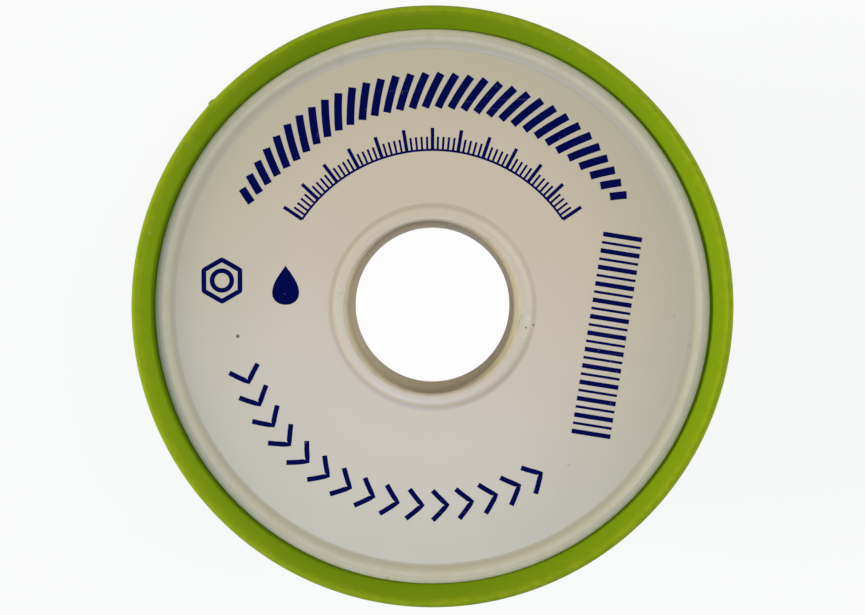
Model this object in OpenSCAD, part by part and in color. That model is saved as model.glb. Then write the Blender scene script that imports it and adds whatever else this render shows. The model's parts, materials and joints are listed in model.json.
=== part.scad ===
// Thread seal tape roll: tape wound on a white spool, closed by a green push-on cover.
// Millimetres. The roll lies on the cover's closed end, with the spool's bore along +Z
// and the spool's open face upward.

/* [Tape] */
// Width of the tape
tape_w = 19; // [10:0.5:26]
// Thickness of the tape
tape_t = 0.2; // [0.1:0.02:0.3]
// Length of tape on the full roll, in metres
tape_len_m = 15; // [6:1:25]
// Room between the turns at the outside of the roll
turn_gap = 0.05; // [0.03:0.01:0.1]
// Arc of the loose end past the last full turn, in degrees
end_arc = 60; // [20:5:120]
// How far the tip of the loose end lifts off the roll
end_lift = 0.4; // [0.1:0.05:0.8]

/* [Spool] */
// Diameter of the bore
bore_d = 22; // [16:0.5:32]
// Wall of the hub
hub_wall = 1.4; // [1:0.1:2.5]
// Room between the hub and the tape wound on it
hub_room = 0.05; // [0.03:0.01:0.1]
// Height of the hub's end above the surface that the roll lies on
hub_rise = 0.3; // [0.1:0.1:0.6]
// Break of the edges at the hub's end
hub_break = 0.3; // [0.1:0.05:0.5]
// Thickness of the flange
flange_t = 1.2; // [0.9:0.1:2.5]
// Rounding of the flange's lower edge
flange_round = 0.3; // [0.1:0.05:0.5]
// Width of the raised bead along the flange's edge
bead_w = 2.15; // [2.05:0.05:3]
// Height of the bead above the face
bead_h = 0.5; // [0.3:0.05:0.8]
// Width of the slope from the face up to the bead
bead_slope = 0.95; // [0.4:0.05:1.1]
// Width of the rounding from the bead's top to its outer edge
bead_fall = 0.85; // [0.3:0.05:0.9]
// Width of the raised ring around the bore's mouth
ring_w = 1.95; // [1.75:0.05:3]
// Height of the ring above the face
ring_h = 0.3; // [0.25:0.05:0.8]
// Width of the slope from the face up to the ring
ring_slope = 0.75; // [0.3:0.05:0.85]
// Rounding of the bore's mouth
mouth_round = 0.45; // [0.3:0.05:0.85]
// Diameter of the two moulding gate dimples in the ring
gate_d = 1.2; // [0.6:0.1:1.6]
// Depth of the gate dimples below the ring's top
gate_depth = 0.15; // [0.1:0.05:0.2]
// Direction of the first gate dimple, in degrees
gate_angle = -11; // [-180:1:180]

/* [Cover] */
// Wall of the skirt
skirt_t = 1.6; // [1:0.1:2.5]
// Draft of the skirt, in degrees
skirt_draft = 0.4; // [0:0.1:1]
// Room between the skirt's narrow end and the loose end of the tape
tape_room = 0.35; // [0.3:0.05:2]
// Thickness of the end wall
end_t = 1.4; // [1:0.1:2.5]
// Room between the tape and the walls on either side of it
side_room = 0.3; // [0.2:0.1:1]
// Depth of the end wall's outer panel behind the standing rim
panel_drop = 0.8; // [0.3:0.1:1.5]
// Width of the standing rim
foot_w = 2.4; // [1.8:0.1:4]
// Rounding of the corner between the standing rim and the skirt
corner_round = 1.2; // [0.5:0.1:1.6]
// Rounding of the corner inside the skirt
inner_round = 0.6; // [0.2:0.1:0.8]
// Width of the collar around the hole for the hub
collar_w = 2; // [1:0.1:4]
// Room between the hub and its hole
hole_room = 0.06; // [0.03:0.01:0.1]
// Width of the ledge that the flange seats on
ledge_w = 1.05; // [0.6:0.05:2]
// Room between the flange's edge and the cover
flange_room = 0.1; // [0.08:0.02:0.4]
// Depth of the bevel's foot below the top of the flange's bead
bevel_sink = 0.9; // [0.4:0.1:1.4]
// Width of the mouth's bevel
bevel_w = 1.85; // [1:0.05:2.5]
// Height of the mouth's bevel
bevel_h = 2.4; // [2:0.1:3.2]
// Width of the lip around the bevel
lip_w = 0.8; // [0.7:0.05:1.5]
// Rounding of the lip's outer edge
lip_round = 0.6; // [0.2:0.05:0.6]
// Height over which the skirt flares out to the mouth
flare_h = 2; // [1:0.1:2.4]
// Diameter of the gate nub on the mouth's outer edge
nub_d = 1.2; // [0.6:0.1:1.4]
// How far the gate nub stands out
nub_out = 0.3; // [0.1:0.05:0.5]
// Direction of the gate nub, in degrees
nub_angle = 137; // [-180:1:180]

/* [Hidden] */
$fn = 180;

// Overcut that takes a cut clear through a face
cut_past = 1;
// Angle between the points of the outer turn
turn_step = 3;
// Steps in a rounded or eased stretch of an outline
round_steps = 6;
// How far the rounding between lip and bevel reaches along the bevel
crest_reach = 0.6;

// Radii of the hub and of the full roll, whose side area is the tape's length times its thickness
bore_r = bore_d / 2;
hub_r = bore_r + hub_wall;
core_in_r = hub_r + hub_room;
roll_r = sqrt(core_in_r * core_in_r + tape_len_m * 1000 * tape_t / PI);
turn_pitch = tape_t + turn_gap;
core_r = roll_r - 2 * turn_pitch;
tip_r = roll_r + turn_pitch * end_arc / 360 + end_lift;

// Heights, from the surface that the roll lies on
floor_z = panel_drop + end_t;
tape_z = floor_z + side_room;
flange_z = tape_z + tape_w + side_room;
face_z = flange_z + flange_t;
bead_z = face_z + bead_h;
ring_z = face_z + ring_h;
bevel_z = max(bead_z - bevel_sink, flange_z + flange_round);
lip_z = bevel_z + bevel_h;
flare_z = flange_z - skirt_t;

// Radii of the cover and of the flange that it takes, from the tape outward
narrow_r = tip_r + tape_room;
function skirt_in(z) = narrow_r + (z - floor_z) * tan(skirt_draft);
function skirt_out(z) = skirt_in(z) + skirt_t;
flange_r = skirt_in(flange_z) + ledge_w;
rebate_r = flange_r + flange_room;
crest_r = rebate_r + bevel_w;
lip_r = crest_r + lip_w;
ring_r = bore_r + ring_w;
gate_r = bore_r + (mouth_round + ring_w - ring_slope) / 2;
hole_r = hub_r + hole_room;
panel_r = skirt_out(0) - foot_w;

// Points of an arc about c from angle a0 to a1
function arc(c, r, a0, a1) =
    [for (i = [0:round_steps]) c + r * [cos(a0 + (a1 - a0) * i / round_steps),
                                        sin(a0 + (a1 - a0) * i / round_steps)]];

// Points of a rounding at corner p that reaches b back along one side and n on along the other
function rounding(p, b, n) =
    [for (i = [0:round_steps]) p + b * (1 - sin(90 * i / round_steps))
                                 + n * (1 - cos(90 * i / round_steps))];

// Share from 0 to 1 that starts and ends level
function ease(t) = (1 - cos(180 * t)) / 2;

// Points from p to q, with the second coordinate eased
function slope(p, q) =
    [for (i = [0:round_steps]) [p[0] + (q[0] - p[0]) * i / round_steps,
                                p[1] + (q[1] - p[1]) * ease(i / round_steps)]];

// Points from p to q, with the first coordinate eased
function flare(p, q) = [for (s = slope([p[1], p[0]], [q[1], q[0]])) [s[1], s[0]]];

// Half section of the spool: hub, flange with its bead, and ring around the bore's mouth
spool_outline = concat(
    [[bore_r + hub_break, hub_rise],
     [hub_r - hub_break, hub_rise],
     [hub_r, hub_rise + hub_break],
     [hub_r, flange_z]],
    arc([flange_r - flange_round, flange_z + flange_round], flange_round, -90, 0),
    rounding([flange_r, bead_z], [0, -bead_h], [-bead_fall, 0]),
    slope([flange_r - bead_w + bead_slope, bead_z], [flange_r - bead_w, face_z]),
    slope([ring_r, face_z], [ring_r - ring_slope, ring_z]),
    arc([bore_r + mouth_round, ring_z - mouth_round], mouth_round, 90, 180),
    [[bore_r, hub_rise + hub_break]]
);

// Half section of the cover: end wall with its collar and standing rim, skirt, ledge and mouth
corner_r = skirt_out(corner_round) - corner_round / cos(skirt_draft);
fillet_r = skirt_in(floor_z + inner_round) - inner_round / cos(skirt_draft);
bevel_run = [-bevel_w, -bevel_h];
cover_outline = concat(
    [[hole_r, 0],
     [hole_r + collar_w, 0],
     [hole_r + collar_w, panel_drop],
     [panel_r, panel_drop],
     [panel_r, 0]],
    arc([corner_r, corner_round], corner_round, -90, -skirt_draft),
    flare([skirt_out(flare_z), flare_z], [lip_r, flare_z + flare_h]),
    arc([lip_r - lip_round, lip_z - lip_round], lip_round, 0, 90),
    rounding([crest_r, lip_z], [(lip_w - lip_round) * 0.9, 0], bevel_run / norm(bevel_run) * crest_reach),
    [[rebate_r, bevel_z],
     [rebate_r, flange_z],
     [skirt_in(flange_z), flange_z]],
    arc([fillet_r, floor_z + inner_round], inner_round, -skirt_draft, -90),
    [[hole_r, floor_z]]
);

// Inner radius of the outer turn at angle a, which lifts off the roll along the loose end
function turn_in(a) =
    core_r + turn_gap + turn_pitch * a / 360 + end_lift * pow(max(0, a - 360) / end_arc, 2);
turn_angles = [for (a = [0:turn_step:360 + end_arc]) a];
turn_outline = concat(
    [for (a = turn_angles) turn_in(a) * [cos(a), sin(a)]],
    [for (i = [len(turn_angles) - 1:-1:0])
        (turn_in(turn_angles[i]) + tape_t) * [cos(turn_angles[i]), sin(turn_angles[i])]]
);

module spool() {
    color("ivory") difference() {
        rotate_extrude() polygon(spool_outline);
        for (a = [gate_angle, gate_angle + 180]) rotate(a)
            translate([gate_r, 0, ring_z - gate_depth]) cylinder(d = gate_d, h = gate_depth + cut_past);
    }
}

module cover() {
    color("olivedrab") union() {
        rotate_extrude() polygon(cover_outline);
        rotate(nub_angle) translate([crest_r, 0, lip_z - lip_round - nub_d / 2])
            rotate([0, 90, 0]) cylinder(d = nub_d, h = lip_w + nub_out);
    }
}

module tape_core() {
    color("white") translate([0, 0, tape_z]) difference() {
        cylinder(r = core_r, h = tape_w);
        translate([0, 0, -cut_past]) cylinder(r = core_in_r, h = tape_w + 2 * cut_past);
    }
}

module tape_outer_turn() {
    color("whitesmoke") translate([0, 0, tape_z]) linear_extrude(tape_w) polygon(turn_outline);
}

cover();
spool();
tape_core();
tape_outer_turn();
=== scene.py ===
import json

import bpy
import numpy as np
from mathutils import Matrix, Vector


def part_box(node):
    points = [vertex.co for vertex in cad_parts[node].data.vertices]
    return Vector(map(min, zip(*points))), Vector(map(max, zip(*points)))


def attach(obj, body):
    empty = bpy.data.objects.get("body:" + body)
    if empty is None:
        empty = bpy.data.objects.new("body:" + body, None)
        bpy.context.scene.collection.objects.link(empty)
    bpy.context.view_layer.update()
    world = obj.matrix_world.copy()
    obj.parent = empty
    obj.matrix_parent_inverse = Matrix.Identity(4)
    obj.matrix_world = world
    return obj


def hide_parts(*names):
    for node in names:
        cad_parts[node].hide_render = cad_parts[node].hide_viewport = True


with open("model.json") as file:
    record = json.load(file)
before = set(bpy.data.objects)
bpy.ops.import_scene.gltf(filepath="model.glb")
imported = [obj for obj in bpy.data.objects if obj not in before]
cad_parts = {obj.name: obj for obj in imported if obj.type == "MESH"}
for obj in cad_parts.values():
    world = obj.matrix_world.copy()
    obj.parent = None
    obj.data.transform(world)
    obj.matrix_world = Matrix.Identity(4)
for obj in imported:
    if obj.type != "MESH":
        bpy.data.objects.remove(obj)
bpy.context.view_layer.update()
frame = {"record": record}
mm = 0.001  # shapes are worked out in millimetres and put into the meshes in metres

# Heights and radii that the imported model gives
coverHigh = np.array(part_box("cover")[1]) / mm
spoolLow, spoolHigh = (np.array(corner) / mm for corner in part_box("spool"))
coreLow, coreHigh = (np.array(corner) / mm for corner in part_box("tape_core"))
boreRadius = next(m for m in frame["record"]["mounts"] if m["kind"] == "bore")["dims"]["r_mm"]
lipRadius, lipTop = coverHigh[0], coverHigh[2]
flangeRadius, spoolTop, hubLow = spoolHigh[0], spoolHigh[2], spoolLow[2]
coreRadius, tapeLow, tapeHigh = coreHigh[0], coreLow[2], coreHigh[2]
print("frame loaded, mouth", round(2 * lipRadius, 2), "mm across")


# Camera straight over the mouth, as in the photograph
view = {
    "place": (0.0, 0.003, 0.2028),
    "target": (0.0, 0.0, 0.025),
    "lens": 58.78,
    "nearest": 0.01,
}


def addCamera():
    camera = bpy.data.objects.new("viewCamera", bpy.data.cameras.new("viewCamera"))
    camera.location = view["place"]
    aim = Vector(view["target"]) - camera.location
    camera.rotation_euler = (np.arctan2(aim.y, -aim.z), 0, 0)  # down along -Z, tipped a little, with +Y up
    camera.data.lens = view["lens"]
    camera.data.clip_start = view["nearest"]
    bpy.context.scene.collection.objects.link(camera)
    bpy.context.scene.camera = camera


# Node helpers
def addNode(tree, kind, sockets=None, **settings):
    node = tree.nodes.new(kind)
    for key, value in settings.items():
        setattr(node, key, value)
    for key, value in (sockets or {}).items():
        if isinstance(value, bpy.types.NodeSocket):
            tree.links.new(value, node.inputs[key])
        else:
            node.inputs[key].default_value = value
    return node


def combine(tree, operation, first, second):
    return addNode(tree, "ShaderNodeMath", {0: first, 1: second}, operation=operation).outputs[0]


def times(tree, first, second):
    return combine(tree, "MULTIPLY", first, second)


def plus(tree, first, second):
    return combine(tree, "ADD", first, second)


def vectorMath(tree, operation, first, second=(0.0, 0.0, 0.0)):
    return addNode(tree, "ShaderNodeVectorMath", {0: first, 1: second}, operation=operation).outputs


def heightOf(tree, vector):
    return addNode(tree, "ShaderNodeSeparateXYZ", {"Vector": vector}).outputs["Z"]


def spread(tree, value, low, high, outLow=0.0, outHigh=1.0):
    sockets = {"Value": value, "From Min": low, "From Max": high, "To Min": outLow, "To Max": outHigh}
    return addNode(tree, "ShaderNodeMapRange", sockets, interpolation_type="SMOOTHSTEP").outputs["Result"]


# The Mix node's socket names repeat for each kind of value, so its sockets go by number
def mixColours(tree, factor, first, second):
    sockets = {0: factor, 6: first, 7: second}
    return addNode(tree, "ShaderNodeMix", sockets, data_type="RGBA").outputs[2]


def mixValues(tree, factor, first, second):
    sockets = {0: factor, 2: first, 3: second}
    return addNode(tree, "ShaderNodeMix", sockets, data_type="FLOAT").outputs[0]


def tint(tree, colour, mask, share, over):
    # the colour, with a second one over it by that share of the mask
    return mixColours(tree, times(tree, mask, share), colour, over)


def noise(tree, vector, scale, detail=2.0, roughness=0.5):
    sockets = {"Vector": vector, "Scale": scale, "Detail": detail, "Roughness": roughness}
    return addNode(tree, "ShaderNodeTexNoise", sockets).outputs["Fac"]


def newGroup(name, inputs, outputs):
    group = bpy.data.node_groups.new(name, "ShaderNodeTree")
    for label, kind in inputs.items():
        group.interface.new_socket(label, in_out="INPUT", socket_type="NodeSocket" + kind)
    for label in outputs:
        group.interface.new_socket(label, in_out="OUTPUT", socket_type="NodeSocketFloat")
    return group, group.nodes.new("NodeGroupInput").outputs, group.nodes.new("NodeGroupOutput").inputs


def useGroup(tree, group, sockets):
    return addNode(tree, "ShaderNodeGroup", sockets, node_tree=group).outputs


# Moulded surface: a slow tone, a middling gloss and a fine grain, from noise at three scales
grainNoise = {
    "toneScale": 55.0,
    "glossScale": 420.0,
    "detail": 3.0,
    "fineDetail": 2.0,
    "fineRoughness": 0.6,
}


def makeMouldGrain():
    group, given, result = newGroup(
        "mouldGrain", {"Vector": "Vector", "Grain": "Float"}, ["Tone", "Gloss", "Height"]
    )
    vector = given["Vector"]
    tone = noise(group, vector, grainNoise["toneScale"], grainNoise["detail"])
    gloss = noise(group, vector, grainNoise["glossScale"], grainNoise["detail"])
    height = noise(group, vector, given["Grain"], grainNoise["fineDetail"], grainNoise["fineRoughness"])
    group.links.new(tone, result["Tone"])
    group.links.new(gloss, result["Gloss"])
    group.links.new(height, result["Height"])
    return group


# Scuffs: noise drawn out along one direction, kept only at its peaks and only in patches
scuffNoise = {
    "stretch": (60.0, 3400.0, 60.0),
    "lineDetail": 1.0,
    "linePeaks": (0.66, 0.76),
    "patchScale": 38.0,
    "patchPeaks": (0.48, 0.64),
}


def makeScuffMarks():
    group, given, result = newGroup("scuffMarks", {"Vector": "Vector", "Turn": "Vector"}, ["Mask"])
    turned = addNode(group, "ShaderNodeMapping", {
        "Vector": given["Vector"], "Rotation": given["Turn"], "Scale": scuffNoise["stretch"],
    }).outputs["Vector"]
    lines = spread(group, noise(group, turned, 1.0, scuffNoise["lineDetail"]), *scuffNoise["linePeaks"])
    patches = noise(group, given["Vector"], scuffNoise["patchScale"])
    patches = spread(group, patches, *scuffNoise["patchPeaks"])
    group.links.new(times(group, lines, patches), result["Mask"])
    return group


# Worn edge: the mesh's edge attribute, broken up by noise; on the cover's lip this attribute is painted
# light, not wear
edgeNoise = {"scale": 900.0, "detail": 3.0, "range": (0.0, 0.8)}


def makeWornAndLitEdge():
    group, given, result = newGroup("wornEdge", {"Edge": "Float", "Vector": "Vector"}, ["Mask"])
    broken = noise(group, given["Vector"], edgeNoise["scale"], edgeNoise["detail"])
    broken = spread(group, broken, *edgeNoise["range"])
    group.links.new(times(group, given["Edge"], broken), result["Mask"])
    return group


# Dust: small spots in a few chosen cells of a Voronoi pattern
dustSpot = {"radii": (0.1, 0.2)}


def makeStrayDust():
    group, given, result = newGroup(
        "strayDust", {"Vector": "Vector", "Scale": "Float", "Share": "Float"}, ["Mask"]
    )
    cells = addNode(group, "ShaderNodeTexVoronoi", {"Vector": given["Vector"], "Scale": given["Scale"]})
    draw = addNode(group, "ShaderNodeSeparateColor", {"Color": cells.outputs["Color"]}).outputs["Red"]
    chosen = combine(group, "LESS_THAN", draw, given["Share"])
    spot = spread(group, cells.outputs["Distance"], *dustSpot["radii"], 1.0, 0.0)
    group.links.new(times(group, chosen, spot), result["Mask"])
    return group


groups = {
    "grain": makeMouldGrain(),
    "scuff": makeScuffMarks(),
    "edge": makeWornAndLitEdge(),
    "dust": makeStrayDust(),
}
glossRange = (0.25, 0.75)  # most of the gloss noise lies between these


def newMaterial(name):
    material = bpy.data.materials.new(name)
    material.use_nodes = True
    tree = material.node_tree
    vector = addNode(tree, "ShaderNodeTexCoord").outputs["Object"]
    return material, tree, tree.nodes["Principled BSDF"].inputs, vector


def meshValue(tree, name):
    return addNode(tree, "ShaderNodeAttribute", attribute_name=name).outputs["Fac"]


def bumpInto(tree, shader, height, look):
    sockets = {"Height": height, "Strength": look["bump"], "Distance": look["grainDepth"]}
    tree.links.new(addNode(tree, "ShaderNodeBump", sockets).outputs["Normal"], shader["Normal"])


def grainOn(tree, vector, look):
    return useGroup(tree, groups["grain"], {"Vector": vector, "Grain": look["grainScale"]})


def scuffsOn(tree, vector, look):
    return useGroup(tree, groups["scuff"], {"Vector": vector, "Turn": look["scuffTurn"]})["Mask"]


def edgesOn(tree, vector):
    return useGroup(tree, groups["edge"], {"Edge": meshValue(tree, "edgeWear"), "Vector": vector})["Mask"]


def dustOn(tree, vector, look):
    sockets = {"Vector": vector, "Scale": look["dustScale"], "Share": look["dustCells"]}
    return useGroup(tree, groups["dust"], sockets)["Mask"]


# In each look, colours are linear, and lengths and noise scales go by metres
coverLook = {
    "deep": (0.195, 0.308, 0.0030, 1),
    "light": (0.226, 0.342, 0.0045, 1),
    # worn colour for scuffs and worn edges, also laid over the whole lip as painted light
    "worn": (0.430, 0.475, 0.0150, 1),
    "edgeShare": 0.5,
    "scuffTurn": (0.3, 0.2, 0.9),
    "scuffShare": 0.12,
    "scuffMatt": 0.12,
    "dust": (0.340, 0.370, 0.1500, 1),
    "dustScale": 700.0,
    "dustCells": 0.02,
    "dustShare": 0.5,
    # dark tint laid into the concave corners as painted shade
    "grime": (0.120, 0.150, 0.0050, 1),
    "grimeShare": 0.6,
    "gloss": (0.42, 0.56),
    "shine": 0.1,
    "grainScale": 5200.0,
    "grainDepth": 0.00001,
    "bump": 0.35,
}


def makeCoverPlastic():
    material, tree, shader, vector = newMaterial("coverPlastic")
    grain = grainOn(tree, vector, coverLook)
    scuff = scuffsOn(tree, vector, coverLook)
    colour = mixColours(tree, grain["Tone"], coverLook["deep"], coverLook["light"])
    # the edge mask is real wear on the edges, and painted light over the lip
    colour = tint(tree, colour, edgesOn(tree, vector), coverLook["edgeShare"], coverLook["worn"])
    colour = tint(tree, colour, scuff, coverLook["scuffShare"], coverLook["worn"])
    colour = tint(tree, colour, dustOn(tree, vector, coverLook), coverLook["dustShare"], coverLook["dust"])
    # concave corners darkened: painted shade
    colour = tint(tree, colour, meshValue(tree, "cornerGrime"), coverLook["grimeShare"], coverLook["grime"])
    tree.links.new(colour, shader["Base Color"])
    shader["Specular IOR Level"].default_value = coverLook["shine"]
    gloss = spread(tree, grain["Gloss"], *glossRange, *coverLook["gloss"])
    gloss = plus(tree, gloss, times(tree, scuff, coverLook["scuffMatt"]))
    tree.links.new(gloss, shader["Roughness"])
    bumpInto(tree, shader, combine(tree, "SUBTRACT", grain["Height"], scuff), coverLook)
    return material


spoolLook = {
    "deep": (0.705, 0.588, 0.412, 1),
    "light": (0.760, 0.640, 0.458, 1),
    # darker, greener tone for the flange's outer part and bead: painted shade
    "handled": (0.560, 0.520, 0.330, 1),
    "handledReach": (0.016, 0.034),
    "handledShare": 0.6,
    "beadReach": (0.0328, 0.0340),
    "beadHandled": 0.3,
    "beadMatt": 0.22,
    # the bore's wall: painted shade at the mouth, painted light towards the far end
    "boreMouth": (0.560, 0.475, 0.310, 1),
    "boreEnd": (0.880, 0.770, 0.560, 1),
    "boreHeights": (0.008, 0.022),
    "boreMatt": 0.5,
    "worn": (0.780, 0.690, 0.530, 1),
    "edgeShare": 0.5,
    # dark tint for scuffs and dust, and painted shade in the concave corners
    "grime": (0.300, 0.260, 0.160, 1),
    "grimeShare": 0.3,
    "scuffTurn": (0.0, 0.0, 0.5),
    "scuffShare": 0.08,
    "scuffMatt": 0.03,
    "dustScale": 520.0,
    "dustCells": 0.025,
    "dustShare": 0.28,
    "dirt": (0.090, 0.075, 0.050, 1),
    "specks": (
        {"place": (-0.0248, -0.0037), "radii": (0.00012, 0.00034)},
        {"place": (0.01285, -0.00225), "radii": (0.00005, 0.0002)},
        {"place": (0.0119, -0.0026), "radii": (0.00005, 0.00017)},
    ),
    "gloss": (0.28, 0.31),
    "shine": 0.8,
    "grainScale": 6500.0,
    "grainDepth": 0.0000025,
    "bump": 0.25,
}


def makeSpoolPlastic():
    material, tree, shader, vector = newMaterial("spoolPlastic")
    grain = grainOn(tree, vector, spoolLook)
    scuff = scuffsOn(tree, vector, spoolLook)
    innerWall = meshValue(tree, "innerWall")
    flat = vectorMath(tree, "MULTIPLY", vector, (1.0, 1.0, 0.0))["Vector"]
    reach = vectorMath(tree, "LENGTH", flat)["Value"]
    # the flange is painted darker and greener towards its edge, and the bead most: painted shade, with
    # painted green light from the cover; the bead is also made rougher
    onBead = spread(tree, reach, *spoolLook["beadReach"])
    handled = spread(tree, reach, *spoolLook["handledReach"], 0.0, spoolLook["handledShare"])
    handled = plus(tree, handled, times(tree, onBead, spoolLook["beadHandled"]))
    # the bore's wall is painted darker at its mouth and lighter towards its far end: painted shade and
    # painted light that even out its own shading
    alongBore = spread(tree, heightOf(tree, vector), *spoolLook["boreHeights"])
    boreShading = mixColours(tree, alongBore, spoolLook["boreEnd"], spoolLook["boreMouth"])
    colour = mixColours(tree, grain["Tone"], spoolLook["deep"], spoolLook["light"])
    colour = mixColours(tree, handled, colour, spoolLook["handled"])
    colour = mixColours(tree, innerWall, colour, boreShading)
    colour = tint(tree, colour, edgesOn(tree, vector), spoolLook["edgeShare"], spoolLook["worn"])
    colour = tint(tree, colour, scuff, spoolLook["scuffShare"], spoolLook["grime"])
    colour = tint(tree, colour, dustOn(tree, vector, spoolLook), spoolLook["dustShare"], spoolLook["grime"])
    # concave corners darkened: painted shade
    colour = tint(tree, colour, meshValue(tree, "cornerGrime"), spoolLook["grimeShare"], spoolLook["grime"])
    for speck in spoolLook["specks"]:
        away = vectorMath(tree, "DISTANCE", flat, (*speck["place"], 0.0))["Value"]
        mask = spread(tree, away, *speck["radii"], 1.0, 0.0)
        colour = mixColours(tree, mask, colour, spoolLook["dirt"])
    tree.links.new(colour, shader["Base Color"])
    shader["Specular IOR Level"].default_value = spoolLook["shine"]
    gloss = spread(tree, grain["Gloss"], *glossRange, *spoolLook["gloss"])
    for mask, matt in ((scuff, "scuffMatt"), (onBead, "beadMatt"), (innerWall, "boreMatt")):
        gloss = plus(tree, gloss, times(tree, mask, spoolLook[matt]))
    tree.links.new(gloss, shader["Roughness"])
    bumpInto(tree, shader, grain["Height"], spoolLook)
    return material


tapeLook = {
    "deep": (0.74, 0.725, 0.695, 1),
    "light": (0.86, 0.845, 0.815, 1),
    "streakScale": (12.0, 12.0, 2600.0),
    "streakDetail": 3.0,
    "streakRoughness": 0.6,
    "streakRange": (0.25, 0.7),
    "toneRange": (0.2, 0.6),
    "toneLevels": (0.6, 1.0),
    "gloss": (0.5, 0.64),
    "grainScale": 4200.0,
    "grainShare": 0.4,
    "grainDepth": 0.00002,
    "bump": 0.5,
}


def makeTapeFilm():
    material, tree, shader, vector = newMaterial("tapeFilm")
    grain = grainOn(tree, vector, tapeLook)
    drawn = addNode(tree, "ShaderNodeMapping", {"Vector": vector, "Scale": tapeLook["streakScale"]})
    streak = noise(
        tree, drawn.outputs["Vector"], 1.0, tapeLook["streakDetail"], tapeLook["streakRoughness"]
    )
    tone = spread(tree, grain["Tone"], *tapeLook["toneRange"], *tapeLook["toneLevels"])
    tone = times(tree, spread(tree, streak, *tapeLook["streakRange"]), tone)
    tree.links.new(mixColours(tree, tone, tapeLook["deep"], tapeLook["light"]), shader["Base Color"])
    gloss = spread(tree, grain["Gloss"], *glossRange, *tapeLook["gloss"])
    tree.links.new(gloss, shader["Roughness"])
    bumpInto(tree, shader, plus(tree, times(tree, grain["Height"], tapeLook["grainShare"]), streak), tapeLook)
    return material


inkLook = {
    "deep": (0.0005, 0.0018, 0.060, 1),
    "light": (0.0016, 0.0036, 0.090, 1),
    "bare": (0.40, 0.37, 0.34, 1),
    "dustScale": 2600.0,
    "dustCells": 0.05,
    "dustShare": 0.5,
    "scuffTurn": (0.0, 0.0, 0.5),
    "scuffShare": 0.1,
    "gloss": (0.5, 0.66),
    "shine": 0.03,
    "grainScale": 7000.0,
    "grainDepth": 0.00001,
    "bump": 0.3,
}


def makePrintInk():
    material, tree, shader, vector = newMaterial("printInk")
    grain = grainOn(tree, vector, inkLook)
    pits = dustOn(tree, vector, inkLook)  # the dust pattern, as pits where the ink came off
    colour = mixColours(tree, grain["Gloss"], inkLook["deep"], inkLook["light"])
    colour = tint(tree, colour, pits, inkLook["dustShare"], inkLook["bare"])
    colour = tint(tree, colour, scuffsOn(tree, vector, inkLook), inkLook["scuffShare"], inkLook["bare"])
    tree.links.new(colour, shader["Base Color"])
    gloss = spread(tree, grain["Gloss"], *glossRange, *inkLook["gloss"])
    tree.links.new(gloss, shader["Roughness"])
    shader["Specular IOR Level"].default_value = inkLook["shine"]
    bumpInto(tree, shader, grain["Height"], inkLook)
    return material


coverPlastic = makeCoverPlastic()
spoolPlastic = makeSpoolPlastic()
tapeFilm = makeTapeFilm()
printInk = makePrintInk()
print("materials ready")


# Mesh helpers
def makePiece(name, points, quads, material, body, slotName, replaced=(), values=None, smooth=True):
    # the signed volume is the sum of corner . (edge x edge) over the faces,
    # and it is positive if they point outwards
    a, b, c, d = (points[quads[:, k]] for k in range(4))
    volume = (a * (np.cross(b - a, c - a) + np.cross(c - a, d - a))).sum()
    if volume < 0:
        quads = quads[:, ::-1]
    mesh = bpy.data.meshes.new(name)
    mesh.vertices.add(len(points))
    mesh.vertices.foreach_set("co", (points * mm).astype(np.float32).ravel())
    mesh.loops.add(quads.size)
    mesh.loops.foreach_set("vertex_index", quads.astype(np.int32).ravel())
    mesh.polygons.add(len(quads))
    mesh.polygons.foreach_set("loop_start", np.arange(0, quads.size, 4, dtype=np.int32))
    mesh.polygons.foreach_set("use_smooth", np.full(len(quads), smooth))
    for label, value in (values or {}).items():
        layer = mesh.attributes.new(label, "FLOAT", "POINT")
        layer.data.foreach_set("value", value.astype(np.float32).ravel())
    mesh.update(calc_edges=True)
    mesh.validate()
    mesh.materials.append(material)
    piece = bpy.data.objects.new(name, mesh)
    bpy.context.scene.collection.objects.link(piece)
    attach(piece, body)
    if replaced:
        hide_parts(*replaced)
    print(name, "made,", len(quads), "faces")


def wrappedQuads(rows, columns):
    # point (i, j) joins to (i + 1, j), (i + 1, j + 1) and (i, j + 1), and both counts run round to the start
    i, j = np.meshgrid(np.arange(rows), np.arange(columns), indexing="ij")
    nextI = (i + 1) % rows
    nextJ = (j + 1) % columns
    corners = [i * columns + j, nextI * columns + j, nextI * columns + nextJ, i * columns + nextJ]
    return np.stack(corners, axis=-1).reshape(-1, 4)


def foldedCap(width):
    # quads that close a ring of points whose first half runs one way and second half runs back
    k = np.arange(width // 2 - 1)
    return np.stack([k, k + 1, width - 2 - k, width - 1 - k], axis=-1)


def evenShares(length, longest=2.5, guard=0.06):
    # shares along a straight run: one point close to each end, and no step longer than the longest
    inset = min(guard, length / 4)
    return np.linspace(inset, length - inset, max(2, int(np.ceil(length / longest)) + 1)) / length


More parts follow.
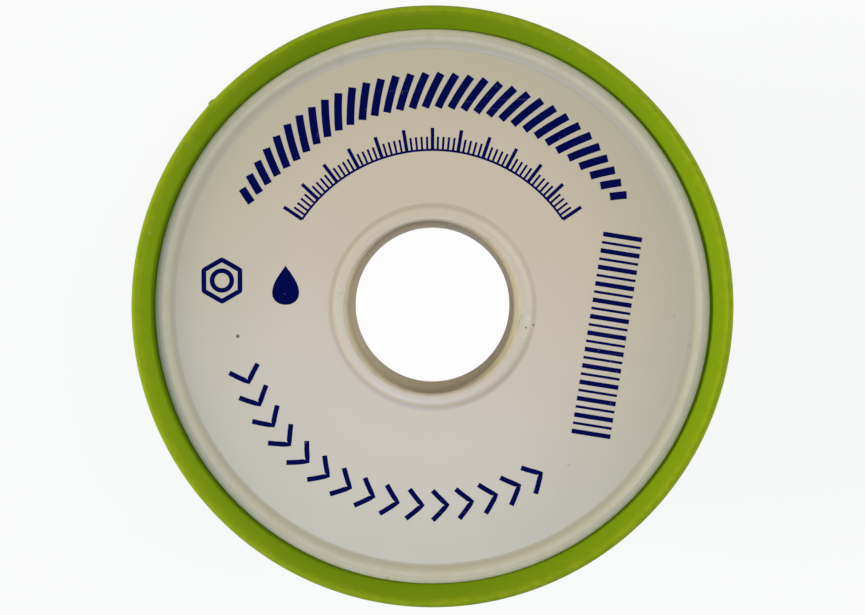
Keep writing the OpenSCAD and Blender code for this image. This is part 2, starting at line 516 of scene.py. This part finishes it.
def roundedOutline(corners, arcSteps=9, shares=None):
    # each corner (radius, height, reach before, reach after) becomes a quarter ellipse tangent to both sides:
    # corner + back * before * (1 - sin t) + on * after * (1 - cos t), with t from 0 to 90 degrees
    place = np.array([corner[:2] for corner in corners], float)
    back = np.roll(place, 1, axis=0) - place
    on = np.roll(place, -1, axis=0) - place
    back /= np.linalg.norm(back, axis=1, keepdims=True)
    on /= np.linalg.norm(on, axis=1, keepdims=True)
    area = np.cross(place, np.roll(place, -1, axis=0)).sum()
    convex = np.cross(-back, on) * area > 0
    back *= np.array([[corner[2]] for corner in corners])
    on *= np.array([[corner[-1]] for corner in corners])
    t = np.linspace(0, np.pi / 2, arcSteps)[:, None]
    arcs = place[:, None] + back[:, None] * (1 - np.sin(t)) + on[:, None] * (1 - np.cos(t))
    runs = np.roll(place + back, -1, axis=0) - (place + on)
    # wear on convex arcs, and painted shade in concave ones, are strongest in the middle of an arc: the root
    # of sin 2t
    middle = np.sqrt(np.abs(np.sin(2 * t[:, 0])))
    points, wear, grime = [], [], []
    for k, (arc, run) in enumerate(zip(arcs, runs)):
        along = (shares or {}).get(k, evenShares(np.linalg.norm(run)))
        points += [arc, arc[-1] + run * along[:, None]]
        wear += [convex[k] * middle, np.zeros(len(along))]
        grime += [~convex[k] * middle, np.zeros(len(along))]
    return np.concatenate(points), {"edgeWear": np.concatenate(wear), "cornerGrime": np.concatenate(grime)}


def allRound(values, shape):
    # the same values along every copy of the outline
    return {label: np.broadcast_to(value, shape) for label, value in values.items()}


def turnAngles(count, *fineSpots):
    # an even turn, with closer steps through each fine spot
    # (its middle and half width in degrees, and its number of steps)
    even = np.linspace(0, 360, count, endpoint=False)
    parts = []
    for middle, halfWidth, steps in fineSpots:
        apart = np.abs((even - middle + 180) % 360 - 180)
        even = even[apart > halfWidth]
        parts.append((middle + np.linspace(-halfWidth, halfWidth, steps)) % 360)
    return np.radians(np.sort(np.concatenate([even, *parts])))


def turnedPoints(radius, height, angle):
    # a point at that radius and height, turned about the axis: x = r cos a, y = r sin a
    return np.stack([radius * np.cos(angle), radius * np.sin(angle), height], axis=-1)


def smoothStep(value, low, high):
    # t * t * (3 - 2 t), where t runs from 0 at the low value to 1 at the high one
    t = np.clip((value - low) / (high - low), 0, 1)
    return t * t * (3 - 2 * t)


def carriedProfile(path, side, profile, loop=False):
    # ring i = path + side * across + up * rise; the first half of a ring runs up one side
    # and the second half back along the other, so a row of quads closes each end,
    # and a loop joins its last ring to its first
    up = np.array([0.0, 0.0, 1.0])
    points = path[:, None] + side[:, None] * profile[..., :1] + up * profile[..., 1:]
    count, width = points.shape[:2]
    walls = wrappedQuads(count, width)
    if loop:
        return points.reshape(-1, 3), walls
    walls = walls.reshape(count, width, 4)[:-1].reshape(-1, 4)
    cap = foldedCap(width)
    quads = np.concatenate([walls, cap, cap[:, ::-1] + (count - 1) * width])
    return points.reshape(-1, 3), quads


def joined(shapes):
    # several closed shapes in one mesh: each one's faces count on from the points before it
    counts = np.cumsum([0] + [len(points) for points, _ in shapes])
    quads = [part + start for (_, part), start in zip(shapes, counts)]
    return np.concatenate([points for points, _ in shapes]), np.concatenate(quads)


# Spool: hub, flange with its bead, and the ring around the bore's mouth
spool = {
    "hubWall": 1.4,
    "flangeThick": 1.2,
    "beadWidth": 2.15,
    "beadSlope": 0.95,
    "beadHeight": 0.5,
    "beadBlend": 0.45,
    "beadCrest": 0.3,
    "beadFall": 0.85,
    "ringWidth": 1.95,
    "ringHeight": 0.3,
    "ringSlope": 0.75,
    "ringBlend": 0.37,
    "mouthRound": 0.45,
    "edgeRound": 0.3,
    "hubRound": 0.28,
    "hubFillet": 0.2,
    "gates": (
        {"angle": -11.0, "out": 12.3, "radius": 1.4, "soft": 0.6, "depth": 0.22},
        {"angle": 169.0, "out": 11.9, "radius": 0.55, "soft": 0.12, "depth": 0.12},
    ),
    "warp": 0.04,
    "warpTurn": 0.6,
    "wallReach": 0.3,
    "turnSteps": 340,
    "gateSteps": (8.5, 70),  # half width in degrees and number of steps through each gate
    "faceSteps": (0.995, 0.02, 56),
    "faceCloser": 2.2,
    "slopeSteps": (0.1, 0.9, 8),
    "crestSteps": (0.04, 0.96, 20),
}
hubRadius = boreRadius + spool["hubWall"]
ringRadius = boreRadius + spool["ringWidth"]
faceZ = spoolTop - spool["beadHeight"]
ringTop = faceZ + spool["ringHeight"]
ledgeZ = faceZ - spool["flangeThick"]


def flangeLift(radius, angle):
    # a moulded flange warps a little: its edge rises twice in a turn,
    # with the square of the distance from the hub
    out = np.clip((radius - ringRadius) / (flangeRadius - ringRadius), 0, 1)
    return spool["warp"] * out**2 * (1 + np.cos(2 * angle + spool["warpTurn"]))


def makeSpool():
    # a rounded outline turned about the axis, with the flange's lift added
    beadFoot = flangeRadius - spool["beadWidth"]
    corners = [
        (boreRadius, hubLow, spool["hubRound"]),
        (hubRadius, hubLow, spool["hubRound"]),
        (hubRadius, ledgeZ, spool["hubFillet"]),
        (flangeRadius, ledgeZ, spool["edgeRound"]),
        (flangeRadius, spoolTop, spool["beadHeight"], spool["beadFall"]),
        (beadFoot + spool["beadSlope"], spoolTop, spool["beadCrest"], spool["beadBlend"]),
        (beadFoot, faceZ, spool["beadBlend"]),
        (ringRadius, faceZ, spool["ringBlend"]),
        (ringRadius - spool["ringSlope"], ringTop, spool["ringBlend"]),
        (boreRadius, ringTop, spool["mouthRound"]),
    ]
    # close steps on the runs after corners 6, 7 and 8:
    # the face, closest beside the ring, then the ring's slope and its crest
    shares = {
        6: 1 - np.linspace(*spool["faceSteps"]) ** spool["faceCloser"],
        7: np.linspace(*spool["slopeSteps"]),
        8: np.linspace(*spool["crestSteps"]),
    }
    outline, values = roundedOutline(corners, shares=shares)
    fineSpots = [(gate["angle"], *spool["gateSteps"]) for gate in spool["gates"]]
    angles = turnAngles(spool["turnSteps"], *fineSpots)
    angle, radius = np.meshgrid(angles, outline[:, 0], indexing="ij")
    height = np.broadcast_to(outline[:, 1], angle.shape) + flangeLift(radius, angle)
    top = ringTop + np.zeros_like(height)
    for gate in spool["gates"]:
        # where a gate was broken off, the ring is pressed down to a flat floor with a soft edge
        turn = np.radians(gate["angle"])
        awayX = radius * np.cos(angle) - gate["out"] * np.cos(turn)
        awayY = radius * np.sin(angle) - gate["out"] * np.sin(turn)
        away = np.hypot(awayX, awayY)
        inside = 1 - smoothStep(away, gate["radius"] - gate["soft"], gate["radius"] + gate["soft"])
        top = top - inside * gate["depth"]
    upper = height > ledgeZ + spool["flangeThick"] / 2
    height = np.where(upper & (radius < ringRadius), np.minimum(height, top), height)
    points = turnedPoints(radius, height, angle).reshape(-1, 3)
    values["innerWall"] = (outline[:, 0] < boreRadius + spool["wallReach"]).astype(float)
    values = allRound(values, angle.shape)
    quads = wrappedQuads(*angle.shape)
    makePiece("spoolMoulding", points, quads, spoolPlastic, "spool", "spool_plastic", ["spool"], values)


# Cover: end wall with its collar and standing rim, skirt, ledge for the flange and bevelled mouth
cover = {
    "skirtWall": 1.6,
    "draft": 0.4,
    "endWall": 1.4,
    "panelDrop": 0.8,
    "footWidth": 2.4,
    "collarWidth": 2.0,
    "holeRoom": 0.06,
    "ledgeWidth": 1.05,
    "flangeRoom": 0.05,
    "lipWidth": 0.8,
    "lipRound": 0.72,
    "bevelHeight": 2.25,
    "bevelBlend": (0.07, 0.6),
    "bevelFoot": 0.12,
    "wearDepths": (0.75, 0.1),  # below the lip's top: where the painted light starts and where it is full
    "flareHeight": 2.0,
    "flareBlend": 0.55,
    "cornerRound": 1.2,
    "innerRound": 0.6,
    "edgeBreak": 0.12,
    "turnSteps": 480,
}


def skirtIn(z):
    # inside of the skirt, which draws in towards the closed end
    return flangeRadius - cover["ledgeWidth"] - (ledgeZ - z) * np.tan(np.radians(cover["draft"]))


def makeCover():
    # a rounded outline turned about the axis
    wall = cover["skirtWall"]
    floorZ = cover["panelDrop"] + cover["endWall"]
    holeRadius = hubRadius + cover["holeRoom"]
    collarRadius = holeRadius + cover["collarWidth"]
    panelRadius = skirtIn(0) + wall - cover["footWidth"]
    rebateRadius = flangeRadius + cover["flangeRoom"]
    flareZ = ledgeZ - wall
    small = cover["edgeBreak"]
    outline, values = roundedOutline([
        (holeRadius, 0, small),
        (collarRadius, 0, small),
        (collarRadius, cover["panelDrop"], small),
        (panelRadius, cover["panelDrop"], small),
        (panelRadius, 0, small),
        (skirtIn(0) + wall, 0, cover["cornerRound"]),
        (skirtIn(flareZ) + wall, flareZ, cover["flareBlend"]),
        (lipRadius, flareZ + cover["flareHeight"], cover["flareBlend"]),
        (lipRadius, lipTop, cover["lipRound"]),
        (lipRadius - cover["lipWidth"], lipTop, *cover["bevelBlend"]),
        (rebateRadius, lipTop - cover["bevelHeight"], cover["bevelFoot"]),
        (rebateRadius, ledgeZ, small),
        (skirtIn(ledgeZ), ledgeZ, small),
        (skirtIn(floorZ), floorZ, cover["innerRound"]),
        (holeRadius, floorZ, small),
    ])
    # the whole lip is painted lighter, less and less down the bevel and the outer side: painted light that
    # evens out the lip's shading, broken up like wear
    none, full = cover["wearDepths"]
    lipLight = smoothStep(outline[:, 1], lipTop - none, lipTop - full)
    values["edgeWear"] = np.where(outline[:, 1] > ledgeZ, lipLight, values["edgeWear"])
    angle, radius = np.meshgrid(turnAngles(cover["turnSteps"]), outline[:, 0], indexing="ij")
    height = np.broadcast_to(outline[:, 1], angle.shape)
    points = turnedPoints(radius, height, angle).reshape(-1, 3)
    values = allRound(values, angle.shape)
    quads = wrappedQuads(*angle.shape)
    makePiece("coverShell", points, quads, coverPlastic, "cover", "cover_plastic", ["cover"], values)


# Gate nub: where the cover was broken off its sprue, on the outer side of the mouth
nub = {
    "angle": 137.0,
    "radius": 0.6,
    "out": 0.3,
    "slant": 0.12,
    "tipAlong": (0, 0.45, 0.7, 0.88, 1),
    "tipWidth": (1, 1, 0.97, 0.75, 0.04),
    "around": 40,
    "along": 14,
}


def makeCoverNub():
    # a short peg standing out of the mouth's outer side: a circle carried outward,
    # that narrows to a domed and slightly slanted end
    around = np.linspace(0, 2 * np.pi, nub["around"], endpoint=False)
    around, along = np.meshgrid(around, np.linspace(0, 1, nub["along"]), indexing="ij")
    width = np.interp(along, nub["tipAlong"], nub["tipWidth"])
    across = nub["radius"] * width * np.cos(around)
    rise = nub["radius"] * width * np.sin(around)
    length = cover["lipRound"] + nub["out"] + nub["slant"] * across / nub["radius"]
    reach = lipRadius - cover["lipRound"] + length * np.sqrt(along)
    turn = np.radians(nub["angle"])
    points = np.stack([
        reach * np.cos(turn) - across * np.sin(turn),
        reach * np.sin(turn) + across * np.cos(turn),
        lipTop - cover["lipRound"] - nub["radius"] + rise,
    ], axis=-1)
    rows, columns = around.shape
    walls = wrappedQuads(rows, columns).reshape(rows, columns, 4)[:, :-1].reshape(-1, 4)
    base = foldedCap(rows) * columns
    quads = np.concatenate([walls, base[:, ::-1], base + columns - 1])
    makePiece("coverGateNub", points.reshape(-1, 3), quads, coverPlastic, "cover", "cover_plastic")


# Tape: one strip wound round the hub, and its outermost turn with the loose end
tape = {
    "thick": 0.2,
    "filmShare": 0.93,
    "hubRoom": 0.05,
    "edgeRound": 0.05,
    "edgeShare": 0.4,  # of the film's thickness, along the strip's edges
    "sideRoom": 0.13,
    "stepsPerTurn": 108,
    "wander": ((0.05, 0.37, 1), (0.04, 0.113, 0), (0.035, 1.618, 2)),  # size, pace and start of each wave
    "outerRoom": 0.05,
    "outerWander": 0.5,
    "outerSteps": 520,
    "acrossSteps": 15,
    "turnGap": 0.05,
    "endArc": 60.0,
    "endLift": 0.4,
    "endSlant": 2.2,
    "ripple": 0.025,
    "rippleAcross": (0.9, 0.4),
    "rippleAround": (3, 5),
    "rippleMiddle": 0.4,
}
tapeMiddle = (tapeLow + tapeHigh) / 2
tapeHalf = (tapeHigh - tapeLow) / 2
filmHalf = tape["thick"] * tape["filmShare"] / 2


def edgeWander(turn):
    # the strip climbs and falls a little as it is wound: three slow waves that don't repeat together
    return sum(size * np.sin(pace * turn + start) for size, pace, start in tape["wander"])


def outward(turn):
    return turnedPoints(np.ones_like(turn), np.zeros_like(turn), turn)


def makeTapeTurns():
    # a spiral: the radius grows by one thickness in each turn, from the hub to the core's outer radius
    startRadius = hubRadius + tape["hubRoom"] + tape["thick"] / 2
    turns = (coreRadius - tape["thick"] / 2 - startRadius) / tape["thick"]
    turn = np.linspace(-2 * np.pi * turns, 0, int(turns * tape["stepsPerTurn"]))
    radius = coreRadius - tape["thick"] / 2 + tape["thick"] * turn / (2 * np.pi)
    path = turnedPoints(radius, tapeMiddle + edgeWander(turn), turn)
    edge = tapeHalf - tape["sideRoom"]
    low = edge - tape["edgeRound"]
    thin = filmHalf * tape["edgeShare"]
    profile = np.array([
        (-thin, -edge), (-filmHalf, -low), (-filmHalf, low), (-thin, edge),
        (thin, edge), (filmHalf, low), (filmHalf, -low), (thin, -edge),
    ])
    points, quads = carriedProfile(path, outward(turn), profile)
    makePiece("tapeTurns", points, quads, tapeFilm, "tape", "tape_film", ["tape_core"])


def makeTapeOuterTurn():
    # the last turn: radius = core + gap + pitch * turn + lift * (share of the loose end) squared,
    # with faint ripples that are a wave times a second wave
    pitch = tape["thick"] + tape["turnGap"]
    degrees = np.linspace(0, 360 + tape["endArc"], tape["outerSteps"])
    loose = np.clip((degrees - 360) / tape["endArc"], 0, 1)
    turn = np.radians(degrees)
    radius = coreRadius + tape["turnGap"] + pitch * degrees / 360
    radius = radius + tape["endLift"] * loose**2 + tape["thick"] / 2
    halfWidth = tapeHalf - tape["outerRoom"]
    rise = np.linspace(-halfWidth, halfWidth, tape["acrossSteps"])
    wave = tape["ripple"] * (tape["rippleMiddle"] + (1 - tape["rippleMiddle"]) * np.abs(rise) / halfWidth)
    for across, around in zip(tape["rippleAcross"], tape["rippleAround"]):
        wave = wave * np.sin(across * rise + around * turn[:, None])
    inner, outer = (np.stack([wave + face, np.broadcast_to(rise, wave.shape)], axis=-1)
                    for face in (-filmHalf, filmHalf))
    profile = np.concatenate([inner, outer[:, ::-1]], axis=1)
    path = turnedPoints(radius, tapeMiddle + tape["outerWander"] * edgeWander(turn), turn)
    points, quads = carriedProfile(path, outward(turn), profile)
    # the end was cut a little slantwise
    lean = np.radians(tape["endSlant"]) * np.repeat(loose**3, profile.shape[1])
    lean = lean * (points[:, 2] - tapeMiddle) / halfWidth
    x = points[:, 0] * np.cos(lean) - points[:, 1] * np.sin(lean)
    y = points[:, 0] * np.sin(lean) + points[:, 1] * np.cos(lean)
    points = np.stack([x, y, points[:, 2]], axis=-1)
    makePiece("tapeOuterTurn", points, quads, tapeFilm, "tape", "tape_film", ["tape_outer_turn"])


# Printed marks: strokes of ink that lie on the flange's face
ink = {
    "rise": 0.022,
    "sink": 0.012,
    "shoulder": 0.4,
    "edgeSlope": 0.05,
}


def inkStroke(x, y, halfWidth, loop=False):
    # a low flat-topped profile carried along a line on the face, as wide as asked at each point
    path = np.stack([x, y, faceZ + flangeLift(np.hypot(x, y), np.arctan2(y, x))], axis=-1)
    along = np.gradient(path[:, :2], axis=0)
    if loop:
        along = np.roll(path[:, :2], -1, axis=0) - np.roll(path[:, :2], 1, axis=0)
    along /= np.linalg.norm(along, axis=1, keepdims=True)
    side = np.stack([along[:, 1], -along[:, 0], np.zeros(len(path))], axis=-1)
    halfWidth = np.broadcast_to(halfWidth, len(path))[:, None]
    across = np.concatenate([-halfWidth, -halfWidth, ink["edgeSlope"] - halfWidth], axis=1)
    across = np.concatenate([across, -across[:, ::-1]], axis=1)
    rise = np.array([-ink["sink"], ink["shoulder"] * ink["rise"], ink["rise"]])
    rise = np.broadcast_to(np.concatenate([rise, rise[::-1]]), across.shape)
    return carriedProfile(path, side, np.stack([across, rise], axis=-1), loop)


def polarStroke(radius, degrees, halfWidth):
    turn = np.radians(degrees)
    return inkStroke(radius * np.cos(turn), radius * np.sin(turn), halfWidth)


def makeInk(name, strokes):
    makePiece(name, *joined(strokes), printInk, "spool", "print_ink", smooth=False)


threadBars = {
    "count": 33,
    "span": (149.0, 31.0),
    "radii": (25.4, 29.7),
    "slant": 4.2,
    "halfWidth": 0.5,
    "runOut": 5,
    "endHeight": 0.45,
    "steps": 9,
}


def makeThreadBars():
    # slanted bars in a row, like a screw thread seen from the side, shorter towards both ends
    low, high = threadBars["radii"]
    count, slant = threadBars["count"], threadBars["slant"]
    share = np.linspace(-1, 1, threadBars["steps"])
    strokes = []
    for k, middle in enumerate(np.linspace(*threadBars["span"], count)):
        fromEnd = min(k, count - 1 - k, threadBars["runOut"])
        part = threadBars["endHeight"] + (1 - threadBars["endHeight"]) * fromEnd / threadBars["runOut"]
        radius = (low + high) / 2 + part * share * (high - low) / 2
        strokes.append(polarStroke(radius, middle - slant / 2 * share * part, threadBars["halfWidth"]))
    makeInk("inkThreadBars", strokes)


tickScale = {
    "count": 61,
    "span": (146.0, 34.0),
    "radii": (20.0, 21.7, 22.8),
    "halfWidth": 0.14,
    "longWider": 1.6,
    "each": 5,
    "lineSteps": 181,
    "tickSteps": 4,
}


def makeTickScale():
    # a plain scale: short strokes on a thin line, every fifth one longer and wider
    foot, short, long = tickScale["radii"]
    line = np.linspace(*tickScale["span"], tickScale["lineSteps"])
    strokes = [polarStroke(np.full_like(line, foot), line, tickScale["halfWidth"])]
    for k, degrees in enumerate(np.linspace(*tickScale["span"], tickScale["count"])):
        top, wider = (short, 1) if k % tickScale["each"] else (long, tickScale["longWider"])
        radius = np.linspace(foot, top, tickScale["tickSteps"])
        strokes.append(polarStroke(radius, np.full_like(radius, degrees), tickScale["halfWidth"] * wider))
    makeInk("inkTickScale", strokes)


chevronRow = {
    "count": 15,
    "span": (200.0, 301.0),
    "radii": (23.4, 27.2),
    "reach": 2.1,
    "halfWidth": 0.32,
    "shares": (-1, -0.6, -0.2, 0, 0.2, 0.6, 1),
}


def makeChevronRow():
    # arrowheads along an arc, pointing the way that the tape is drawn off
    low, high = chevronRow["radii"]
    share = np.array(chevronRow["shares"])
    radius = (low + high) / 2 + share * (high - low) / 2
    strokes = []
    for middle in np.linspace(*chevronRow["span"], chevronRow["count"]):
        degrees = middle + chevronRow["reach"] * (1 - 2 * np.abs(share))
        strokes.append(polarStroke(radius, degrees, chevronRow["halfWidth"]))
    makeInk("inkChevrons", strokes)


smallMarks = {
    "nutPlace": (-26.8, 3.4),
    "nutRadius": 2.65,
    "nutHole": 1.25,
    "nutStroke": 0.3,
    "nutSteps": 96,
    "dropPlace": (-18.7, 2.4),
    "dropLength": 5.0,
    "dropWidth": 3.4,
    "dropSwell": 1.36,
    "dropTaper": 1.1,
    "dropFoot": 0.42,
    "dropThinnest": 0.06,
    "dropSteps": (0.004, 0.985, 60),
}


def makeSmallMarks():
    # a hexagon nut: radius = flat distance / cos(angle within a sixth of a turn), round a plain ring
    turn = np.linspace(0, 2 * np.pi, smallMarks["nutSteps"], endpoint=False)
    within = (turn + np.pi / 6) % (np.pi / 3) - np.pi / 6
    hexagon = smallMarks["nutRadius"] * np.cos(np.pi / 6) / np.cos(within)
    strokes = []
    for radius in (hexagon, np.full_like(turn, smallMarks["nutHole"])):
        x = smallMarks["nutPlace"][0] + radius * np.cos(turn)
        y = smallMarks["nutPlace"][1] + radius * np.sin(turn)
        strokes.append(inkStroke(x, y, smallMarks["nutStroke"], loop=True))
    # a drop: half width grows as the root of the height and closes again towards the point
    share = np.linspace(*smallMarks["dropSteps"])
    halfWidth = np.sqrt(share) * (1 - share) ** smallMarks["dropTaper"]
    halfWidth = smallMarks["dropWidth"] * smallMarks["dropSwell"] * halfWidth
    x = np.full_like(share, smallMarks["dropPlace"][0])
    y = smallMarks["dropPlace"][1] + smallMarks["dropLength"] * (share - smallMarks["dropFoot"])
    strokes.append(inkStroke(x, y, np.maximum(halfWidth, smallMarks["dropThinnest"])))
    makeInk("inkSmallMarks", strokes)


barBlock = {
    "place": (22.2, -3.6),
    "length": 25.4,
    "halfSpan": 2.5,
    "tilt": 9.0,
    "count": 25,
    "halfWidths": (0.3, 0.17),
    "steps": 5,
}


def makeBarBlock():
    # even bars across a tilted block, thick and thin by turns
    tilt = np.radians(barBlock["tilt"])
    share = np.linspace(-1, 1, barBlock["steps"]) * barBlock["halfSpan"]
    strokes = []
    for k, along in enumerate(np.linspace(-0.5, 0.5, barBlock["count"]) * barBlock["length"]):
        x = barBlock["place"][0] + along * np.sin(tilt) + share * np.cos(tilt)
        y = barBlock["place"][1] + along * np.cos(tilt) - share * np.sin(tilt)
        strokes.append(inkStroke(x, y, barBlock["halfWidths"][k % 2]))
    makeInk("inkBarBlock", strokes)


# Floor and light: a white floor and backdrop, two low lamps at the sides, a high one at the right
# and a small cool one over the face; lengths in metres
studio = {
    "floorHalf": 4.0,
    "floorZ": -0.00005,
    "floorColour": (0.93, 0.93, 0.93, 1),
    "floorGlow": 0.85,
    # painted light: the paper's whiteness under the bore, over the shadow there
    "boreGlow": 0.98,
    "boreReach": (0.011, 0.015),
    "farGlow": 0.95,
    "farReach": (0.15, 1.2),
    "backdrop": (1, 1, 1, 1),
    "backdropLevels": (0.95, 0.08),
    "backdropReach": 0.6,
    "surround": (1.0, 0.955, 0.86, 1),
    "surroundLevels": (0.06, 0.05),
    "lamps": {
        "keyLeft": {
            "place": (-1.02, -0.033, 0.437),
            "size": (0.6, 0.35),
            "watts": 11.0,
            "colour": (1.0, 0.975, 0.93),
            "mirrored": False,
        },
        "lowRight": {
            "place": (1.066, 0.150, 0.254),
            "size": (0.5, 0.3),
            "watts": 5.4,
            "colour": (1.0, 0.98, 0.94),
            "mirrored": False,
        },
        "highRight": {
            "place": (0.664, 0.242, 0.868),
            "size": (1.0, 0.8),
            "watts": 4.2,
            "colour": (1.0, 0.98, 0.94),
            "mirrored": True,
        },
        "coolLow": {
            "place": (-0.04, -0.14, 0.45),
            "size": (0.25, 0.24),
            "watts": 0.62,
            "colour": (0.4, 0.6, 1.0),
            "mirrored": True,
        },
    },
}


def seenRays(tree):
    # 1 for what the camera sees, straight or by way of a reflection or through a clear piece
    ray = addNode(tree, "ShaderNodeLightPath").outputs
    seen = combine(tree, "MAXIMUM", ray["Is Camera Ray"], ray["Is Glossy Ray"])
    return combine(tree, "MAXIMUM", seen, ray["Is Transmission Ray"])


def makeFloor():
    half, low = studio["floorHalf"], studio["floorZ"]
    mesh = bpy.data.meshes.new("floor")
    corners = [(-half, -half, low), (half, -half, low), (half, half, low), (-half, half, low)]
    mesh.from_pydata(corners, [], [(0, 1, 2, 3)])
    material = bpy.data.materials.new("floorPaper")
    material.use_nodes = True
    tree = material.node_tree
    tree.nodes.remove(tree.nodes["Principled BSDF"])
    paper = addNode(tree, "ShaderNodeBsdfDiffuse", {"Color": studio["floorColour"]}).outputs["BSDF"]
    white = addNode(tree, "ShaderNodeEmission", {"Color": studio["backdrop"]}).outputs["Emission"]
    # the paper is whitest far off, so that the distance shows as white, and under the bore, where this
    # whiteness is painted light over the shadow that falls there
    vector = addNode(tree, "ShaderNodeTexCoord").outputs["Object"]
    reach = vectorMath(tree, "LENGTH", vector)["Value"]
    near = spread(tree, reach, *studio["boreReach"], studio["boreGlow"], studio["floorGlow"])
    far = spread(tree, reach, *studio["farReach"], studio["floorGlow"], studio["farGlow"])
    share = times(tree, seenRays(tree), combine(tree, "MAXIMUM", near, far))
    mixed = addNode(tree, "ShaderNodeMixShader", {0: share, 1: paper, 2: white}).outputs["Shader"]
    tree.links.new(mixed, tree.nodes["Material Output"].inputs["Surface"])
    mesh.materials.append(material)
    floor = bpy.data.objects.new("floor", mesh)
    bpy.context.scene.collection.objects.link(floor)


def makeSurround():
    world = bpy.data.worlds.new("surround")
    bpy.context.scene.world = world
    world.use_nodes = True
    tree = world.node_tree
    height = heightOf(tree, addNode(tree, "ShaderNodeTexCoord").outputs["Generated"])
    # a white backdrop near the horizon for what is seen, and a faint warm light from all round
    seen = seenRays(tree)
    backdrop = spread(tree, height, 0.0, studio["backdropReach"], *studio["backdropLevels"])
    around = spread(tree, height, 0.0, 1.0, *studio["surroundLevels"])
    background = tree.nodes["Background"].inputs
    tree.links.new(mixColours(tree, seen, studio["surround"], studio["backdrop"]), background["Color"])
    tree.links.new(mixValues(tree, seen, around, backdrop), background["Strength"])


def makeLamps():
    for name, lamp in studio["lamps"].items():
        light = bpy.data.lights.new(name, "AREA")
        light.shape = "RECTANGLE"
        light.size, light.size_y = lamp["size"]
        light.energy = lamp["watts"]
        light.color = lamp["colour"]
        holder = bpy.data.objects.new(name, light)
        holder.location = lamp["place"]
        aim = Vector(view["target"]) - holder.location
        holder.rotation_euler = aim.to_track_quat("-Z", "Y").to_euler()
        # a low lamp would dazzle on the flat face from the far side, so it is left out of reflections,
        # and its light is sampled directly only, or stray reflected rays leave specks
        holder.visible_glossy = lamp["mirrored"]
        light.cycles.use_multiple_importance_sampling = lamp["mirrored"]
        bpy.context.scene.collection.objects.link(holder)


addCamera()
makeSpool()
makeCover()
makeCoverNub()
makeTapeTurns()
makeTapeOuterTurn()
makeThreadBars()
makeTickScale()
makeChevronRow()
makeSmallMarks()
makeBarBlock()
makeFloor()
makeSurround()
makeLamps()
bpy.context.scene.view_settings.view_transform = "Standard"
print("floor and light set")
